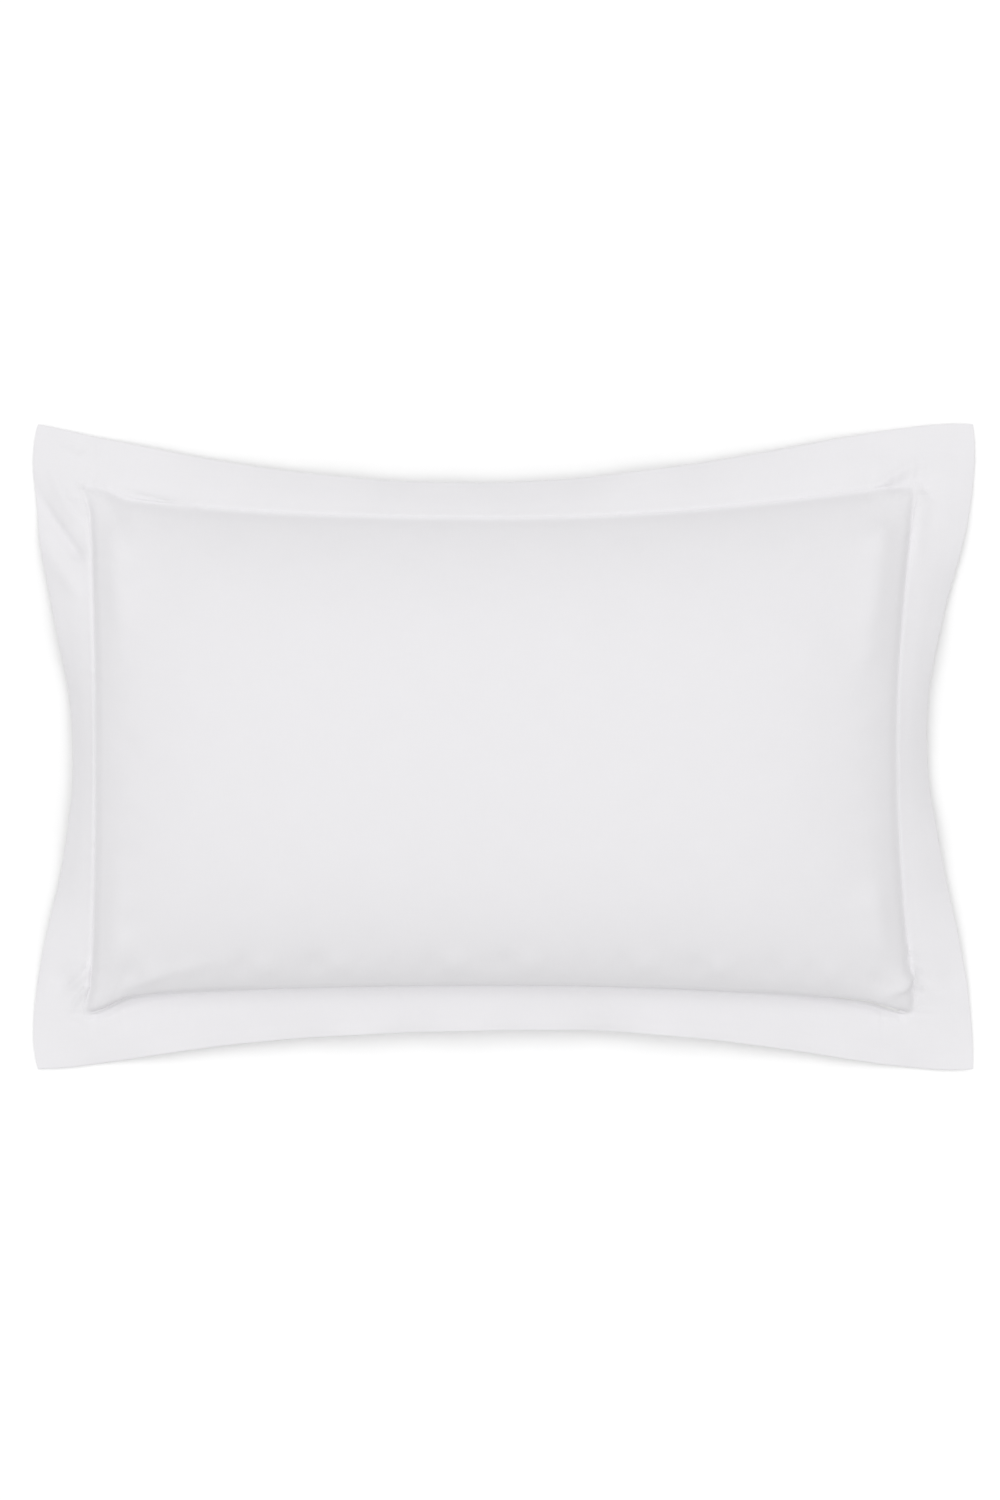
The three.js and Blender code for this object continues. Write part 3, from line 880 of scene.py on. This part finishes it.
def woven(nodes, pitch, turn=0.0):
    """Height of a plain weave: warp and weft cross over and under, with slubs along both."""
    flat = nodes.flat(turn)
    warp, weft = nodes.wave(flat, pitch, "X"), nodes.wave(flat, pitch * 1.12, "Y")
    over = nodes.math("MULTIPLY", warp, weft)
    under = nodes.math("MULTIPLY", nodes.math("SUBTRACT", 1, warp), nodes.math("SUBTRACT", 1, weft))
    slub_warp = nodes.noise(nodes.flat(turn, (900, 60, 1)), 1, 1)
    slub_weft = nodes.noise(nodes.flat(turn, (60, 900, 1)), 1, 1)
    slubs = nodes.math("ADD", slub_warp, slub_weft)
    return nodes.math("ADD", nodes.math("ADD", over, under), nodes.math("MULTIPLY", slubs, 0.7)), slubs


def percale():
    """Crisp plain-woven cotton: fine yarns, slight slubs, a dull sheen and faint creases from pressing."""
    nodes = Nodes("percale", (0.758, 0.750, 0.768), 0.8)
    weave, slubs = woven(nodes, 0.00032)
    pressed = nodes.noise(nodes.flat(), 26, 4, 0.55)
    uneven = nodes.total(slubs, 0.25, pressed, 0.5)
    nodes.shade(uneven, 0.012)
    nodes.rough(pressed, 0.72, 0.86)
    nodes.bump(nodes.total(weave, 0.00005, pressed, 0.0012), 0.35, 1.0)
    nodes.sheen(0.12, 0.4)
    return nodes.material


def ticking():
    """Tightly woven twill that keeps the filling in: diagonal ribs on a warm white."""
    nodes = Nodes("ticking_twill", (0.78, 0.77, 0.74), 0.8)
    ribs = nodes.wave(nodes.flat(math.radians(63)), 0.0006, "X")
    uneven = nodes.noise(nodes.flat(), 90, 3)
    nodes.shade(uneven, 0.025)
    nodes.rough(ribs, 0.7, 0.85)
    nodes.bump(nodes.total(ribs, 0.00008, uneven, 0.0003), 0.5, 1.0)
    nodes.sheen(0.1, 0.5)
    return nodes.material


def fibre():
    """Blown hollow fibre: fluffy white clusters."""
    nodes = Nodes("hollow_fibre", (0.85, 0.85, 0.84), 0.95)
    place = nodes.add("TexCoord").outputs["Object"]
    clusters = nodes.noise(place, 85, 6, 0.65)
    strands = nodes.noise(place, 700, 3, 0.7)
    nodes.shade(clusters, 0.05)
    nodes.rough(strands, 0.85, 1.0)
    nodes.bump(nodes.total(clusters, 0.004, strands, 0.0004), 0.6, 1.0)
    nodes.sheen(0.4, 0.6)
    return nodes.material


def sewing_thread():
    """Polyester-cotton thread: two plies twisted together, a little glossier than the cloth."""
    nodes = Nodes("sewing_thread", (0.80, 0.80, 0.81), 0.5)
    place = nodes.add("TexCoord").outputs["Object"]
    turned = nodes.add("Mapping", {}, Vector=place, Rotation=(0.6, 0.4, 0.785)).outputs[0]
    plies = nodes.wave(turned, 0.0005, "X")
    nodes.shade(plies, 0.02)
    nodes.rough(plies, 0.45, 0.6)
    nodes.bump(plies, 0.4, 0.00003)
    return nodes.material


def label_tape():
    """Satin care-label tape, left blank."""
    nodes = Nodes("label_satin", (0.85, 0.85, 0.84), 0.4)
    ribs = nodes.wave(nodes.flat(), 0.00025, "Y")
    uneven = nodes.noise(nodes.flat(), 120, 2)
    nodes.shade(uneven, 0.015)
    nodes.rough(uneven, 0.34, 0.46)
    nodes.bump(ribs, 0.3, 0.00003)
    nodes.sheen(0.05, 0.3)
    return nodes.material


MATERIALS = {
    "percale_cotton": percale(),
    "ticking": ticking(),
    "polyester_fibre": fibre(),
    "sewing_thread": sewing_thread(),
    "label_tape": label_tape(),
}

# ------------------------ the pillowcase

OPENING = POCKET[0] / 2 - OPENING_FROM_END
FLAP_LIP = OPENING - FLAP_OVERLAP


def near_edge(x, y):
    """1 where the seam allowances lie inside the border, 0 further in."""
    out = np.maximum(abs(x) - POCKET[0] / 2, abs(y) - POCKET[1] / 2)
    return smooth_step(out - BORDER + ALLOWANCE, *ALLOWANCE_STEP)


def front_offset(x, y):
    return LAYER * (0.5 + near_edge(x, y))


def outer_allowance(x, y):
    return np.full_like(x, 0.5 * LAYER)


def lip_room(x, y):
    """1 where the flap's turned hem lies between the two faces of the border."""
    far, near = HEM_ROOM
    hem_end = FLAP_LIP + FLAP_HEM
    hem = smooth_step(x, FLAP_LIP - far, FLAP_LIP - near)
    hem = hem * (1 - smooth_step(x, hem_end + near, hem_end + far))
    return hem * smooth_step(abs(y) - POCKET[1] / 2, -far, -near)


def flap_offset(x, y):
    allowances = near_edge(x, y) * (2 - smooth_step(x, OPENING, OPENING + OPENING_STEP))
    return LAYER * (0.5 + allowances + 2 * lip_room(x, y))


def flap_allowance(x, y):
    """It lies behind the back panel's allowance up to the opening, and in its place past it."""
    return LAYER * (1.5 - smooth_step(x, OPENING, OPENING + OPENING_STEP))


def back_offset(x, y):
    over_flap = smooth_step(x, FLAP_LIP - LIP_STEP, FLAP_LIP)
    hem = smooth_step(x, OPENING - OPENING_HEM - HEM_STEP, OPENING - OPENING_HEM)
    return LAYER * (0.5 + over_flap + 2 * hem + near_edge(x, y) * (1 + over_flap) + 2 * lip_room(x, y))


def under_face(x, y):
    """How far the case's outer face lies below the lower surface."""
    return np.where(x < OPENING, back_offset(x, y), flap_offset(x, y)) + CLOTH / 2


def hem_rows(surface, place, offset):
    """The needle's row on a hem's outer face and the bobbin's row on its inner one."""
    reach = POCKET[1] / 2 - HEM_ROW_INSET
    ys = np.arange(-reach, reach, PATH_STEP)
    xs = np.full(len(ys), place)
    points, normals = surface.path(xs, ys)
    outer, inner = offset(xs, ys) + CLOTH / 2, offset(xs, ys) - 2 * LAYER - CLOTH / 2
    return [(points, normals, outer), (points, -normals, -inner)]


def pillowcase(upper, lower):
    across = Section(fine_lines(POCKET[1])).allowance(True).allowance(False)
    along = Section(fine_lines(POCKET[0])).allowance(True).allowance(False)
    to_opening = Section(fine_lines(POCKET[0], high=OPENING))
    to_opening.hem(True, OPENING_HEM, OPENING_TUCK).allowance(False)
    from_lip = Section(fine_lines(POCKET[0], low=FLAP_LIP)).hem(False, FLAP_HEM, FLAP_TUCK).allowance(True)
    front = panel("front_panel", upper, along, across, front_offset, outer_allowance, "case_front_panel")
    back = panel("back_panel", lower, to_opening, across, back_offset, outer_allowance, "case_back_panel")
    flap = panel("flap_panel", lower, from_lip, across, flap_offset, flap_allowance, "case_flap_panel")

    seam, edge = loop_path(STITCH_FROM_SEAM), loop_path(BORDER - EDGE_SEAM_INSET)
    top_row = (*upper.path(*seam), front_offset(*seam) + CLOTH / 2)
    under_row = (*lower.path(*seam), under_face(*seam))
    needle = stitches("border_needle_stitches", "case_border_needle_thread", [top_row], True)
    bobbin = stitches("border_bobbin_stitches", "case_border_bobbin_thread", [under_row], True)
    stitches("outer_seam_stitches", "case_outer_seam_thread", [(*upper.path(*edge), 0)], True)
    hem = hem_rows(lower, OPENING - OPENING_HEM + STITCH_FROM_SEAM, back_offset)
    opening_hem = stitches("opening_hem_stitches", "case_opening_hem_thread", hem, False)
    hem = hem_rows(lower, FLAP_LIP + FLAP_HEM - STITCH_FROM_SEAM, flap_offset)
    flap_hem = stitches("flap_hem_stitches", "case_flap_hem_thread", hem, False)

    lines = [np.linspace(*ends, LABEL_LINES) for ends in CASE_LABEL]
    points, normals = lower.grid(*lines)
    points = points - CASE_LABEL_DEPTH * normals
    label = loose_sheet("case_label", "case_care_label", points, lines, "label_tape")


def loose_sheet(name, node, middle, lines, slot):
    """A plain sheet round a grid of middle points."""
    points, faces, used = shell(middle, facing_of(middle), CLOTH)
    x, y = np.meshgrid(*lines, indexing="ij")
    return new_piece(name, points, faces, slot, node, pattern_places(x, y, used))


# ------------------------ the pillow inside


def nested(u, v, share, lift, edge, belly, strain):
    """The inner pillow's upper or lower surface at (u, v), from -1 to 1: it follows the simulated case at a
    share of the way out to the seam, lifted clear of it. Edge is the thickness of its rim."""
    x, y = pocket_plan(u * share, v * share)
    rim = height_on_sides(u * share, v * share, "seam_height", CORNER_SEAM_HEIGHT) + lift
    if belly:
        z = mix(rim - edge / 2, RESTING_LEVEL + lift, belly_share(u, v))
    else:
        z = mix(rim + edge / 2, CROWN_HEIGHT - lift, crown_share(u, v))
        y = y - SAG * (1 - np.exp(-(z - rim) / SAG_RISE))
    wx = weights(LINES[0], u[:, 0] * share * POCKET[0] / 2, True)
    wy = weights(LINES[1], v[0] * share * POCKET[1] / 2, True)
    return np.stack([x, y, z], -1) + np.einsum("ia,abk,jb->ijk", wx, strain, wy, optimize=True)


def rim_lines(count):
    """Lines from -1 to 1, close together at both ends."""
    return np.sin(math.pi / 2 * np.linspace(-1, 1, count))


def rim_gathers(u, v):
    """Small gathers drawn into the ticking by its seam."""
    found = np.zeros_like(u)
    for seed, (t, other, half) in enumerate(((u, v, POCKET[0] / 2), (v, u, POCKET[1] / 2))):
        away = (1 - abs(other)) * POCKET[1 - seed] / 2
        share = away / RIM_GATHER_REACH
        found += ripple(t * half, RIM_GATHER_WAVES, 70 + seed) * share * np.exp(1 - share)
    return RIM_GATHER_HEIGHT * found


def inner_pillow(strain_top, strain_under):
    """The ticking's two panels with their stitches and label, and the filling between them."""
    lines = [rim_lines(count) for count in TICKING_LINES]
    u, v = np.meshgrid(*lines, indexing="ij")
    flat = [line * half for line, half in zip(lines, POCKET / 2)]
    panels = []
    for name, belly, strain in (("front", False, strain_top), ("back", True, strain_under)):
        middle = nested(u, v, INSERT_SHARE, INSERT_LIFT, TICKING_RIM, belly, strain)
        facing = facing_of(middle)
        middle = middle + facing * rim_gathers(u, v)[..., None]
        panels.append((name, middle, facing * (-1 if belly else 1)))
        made = loose_sheet(f"ticking_{name}", f"insert_ticking_{name}", middle, flat, "ticking")

    _, top, out = panels[0]
    ring = [top[1:-1, 1], top[-2, 2:-1], top[-3:0:-1, -2], top[1, -3:1:-1]]
    ring_out = [out[1:-1, 1], out[-2, 2:-1], out[-3:0:-1, -2], out[1, -3:1:-1]]
    row = (np.concatenate(ring), np.concatenate(ring_out), CLOTH / 2)
    stitches("insert_seam_stitches", "insert_seam_thread", [row], True)
    closing = slice(*np.searchsorted(lines[1], (-CLOSING_REACH, CLOSING_REACH)))
    row = (top[CLOSING_LINE, closing], out[CLOSING_LINE, closing], CLOTH / 2)
    stitches("insert_closing_stitches", "insert_closing_thread", [row], False)

    places = [np.linspace(*ends, LABEL_LINES) for ends in INSERT_LABEL]
    u, v = np.meshgrid(*places, indexing="ij")
    under = nested(u, v, INSERT_SHARE, INSERT_LIFT, TICKING_RIM, False, strain_top)
    middle = under + 2 * LAYER * facing_of(under)
    flat = [place * half for place, half in zip(places, POCKET / 2)]
    label = loose_sheet("insert_label", "insert_care_label", middle, flat, "label_tape")

    u, v = np.meshgrid(*(rim_lines(count) for count in FILLING_LINES), indexing="ij")
    sides = []
    for belly, strain in ((False, strain_top), (True, strain_under)):
        side = nested(u, v, FILLING_SHARE, FILLING_LIFT, FILLING_RIM, belly, strain)
        clumps = ripple(side[..., 0] + 0.4 * side[..., 1], CLUMP_WAVES[0], 81)
        clumps = clumps * ripple(side[..., 1] - 0.3 * side[..., 0], CLUMP_WAVES[1], 82)
        inside = (1 - u**8) * (1 - v**8)
        side[..., 2] += (1 if belly else -1) * CLUMP_DEPTH * inside * (1 + np.clip(clumps, -1, 1))
        sides.append(side)
    over, under = sides
    points, faces, _ = shell((over + under) / 2, over - under, 1)
    filling = new_piece("filling", points, faces, "polyester_fibre", "fibre_filling")


cut_top, cut_under = filled_shape()
top_points, under_points = sewn_case(cut_top, cut_under)
pillowcase(Surface(top_points, 1), Surface(under_points, -1))
inner_pillow(top_points - cut_top, under_points - cut_under)

# ------------------------ studio


def stage_floor():
    corners = [(x * FLOOR_HALF, y * FLOOR_HALF, 0) for x, y in ((-1, -1), (1, -1), (1, 1), (-1, 1))]
    mesh = bpy.data.meshes.new("floor")
    mesh.from_pydata(corners, [], [(0, 1, 2, 3)])
    mesh.materials.append(Nodes("floor", (0.98, 0.98, 0.98), 0.9).material)
    new_object("floor", mesh)


def soft_sun():
    """A distant soft light, a little towards the top edge."""
    data = bpy.data.lights.new("key", "SUN")
    data.angle = math.radians(SUN_SPREAD)
    data.energy = SUN
    key = new_object("key", data)
    key.rotation_mode = "QUATERNION"
    key.rotation_quaternion = Vector(SUN_FROM).to_track_quat("Z", "Y")


stage_floor()
soft_sun()
world = bpy.data.worlds.new("studio")
bpy.context.scene.world = world
world.use_nodes = True
background = world.node_tree.nodes["Background"]
background.inputs["Color"].default_value = (1, 1, 1, 1)
background.inputs["Strength"].default_value = SKY
bpy.context.scene.view_settings.view_transform = "Standard"

camera_data = bpy.data.cameras.new("camera")
camera = new_object("camera", camera_data)
camera_data.sensor_width = SENSOR
camera_data.lens = SENSOR * (CAMERA_PLACE[2] - BORDER_HEIGHT) / VIEW_LONG
camera.location = CAMERA_PLACE
bpy.context.scene.camera = camera
